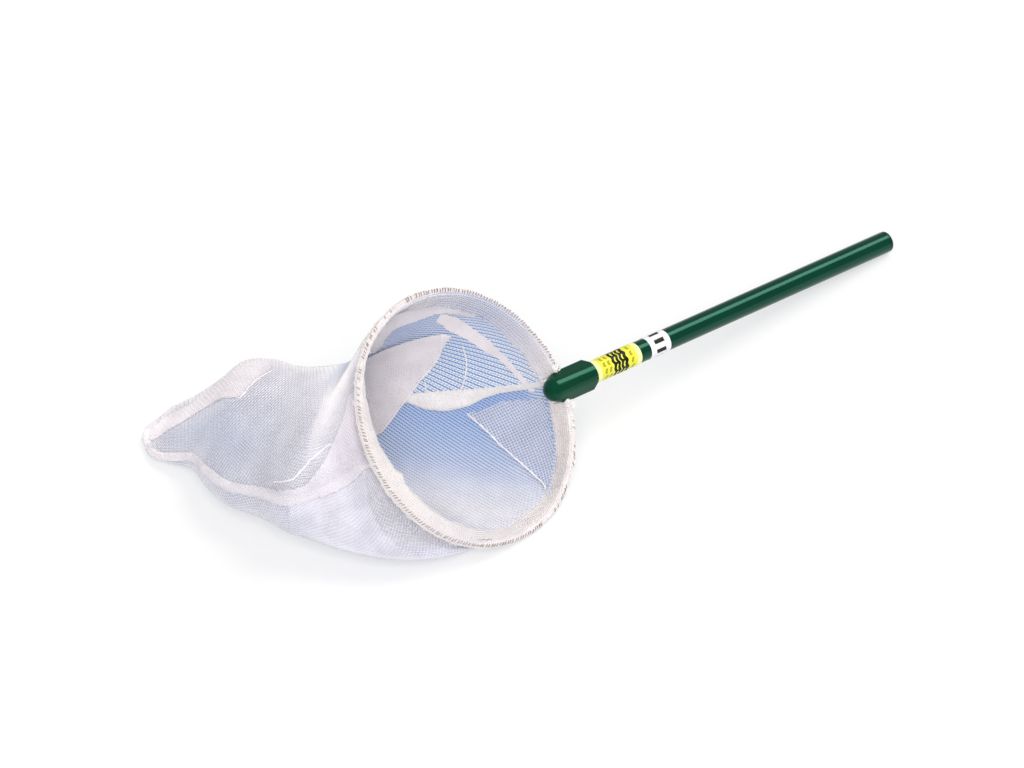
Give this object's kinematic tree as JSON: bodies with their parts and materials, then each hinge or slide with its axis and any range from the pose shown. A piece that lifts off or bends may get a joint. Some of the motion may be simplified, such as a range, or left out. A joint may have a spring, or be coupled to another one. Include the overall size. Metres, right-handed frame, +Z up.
{
  "type": "hand dip net",
  "caption": "Hand net with an oval wire hoop, a deep soft mesh bag that lies behind it, and a short round sleeved handle.",
  "frame": {"origin": "centre of the bounding box's bottom face, on the ground that the net lies on", "axes": "+X from the bag's end towards the handle's free end along the handle's line on the ground, +Z up from the ground, +Y towards the raised side of the hoop, where the bag lies"},
  "size_m": [0.5747, 0.2702, 0.1339],
  "materials": {
    "tube_metal": "drawn tube, satin",
    "green_vinyl": "smooth gloss",
    "plug_plastic": "moulded, semi-gloss",
    "wire_steel": "drawn wire",
    "boot_vinyl": "dipped, gloss",
    "yellow_film": "printed film",
    "white_film": "printed film",
    "hem_fabric": "folded netting, whip-stitched",
    "thread": "cotton thread",
    "netting": "fine square netting",
    "seam_fabric": "doubled netting"
  },
  "bodies": {
    "root": {"handle_tube": "tube_metal", "handle_sleeve": "green_vinyl", "rear_plug": "plug_plastic", "hoop_wire": "wire_steel", "hoop_boot": "boot_vinyl", "band_label": "yellow_film", "size_label": "white_film", "rim_hem": "hem_fabric", "hem_ties": "thread", "bag_upper_panel": "netting", "bag_lower_panel": "netting", "side_seam_near": "seam_fabric", "side_seam_far": "seam_fabric", "toe_seam": "seam_fabric"}
  },
  "joints": []
}
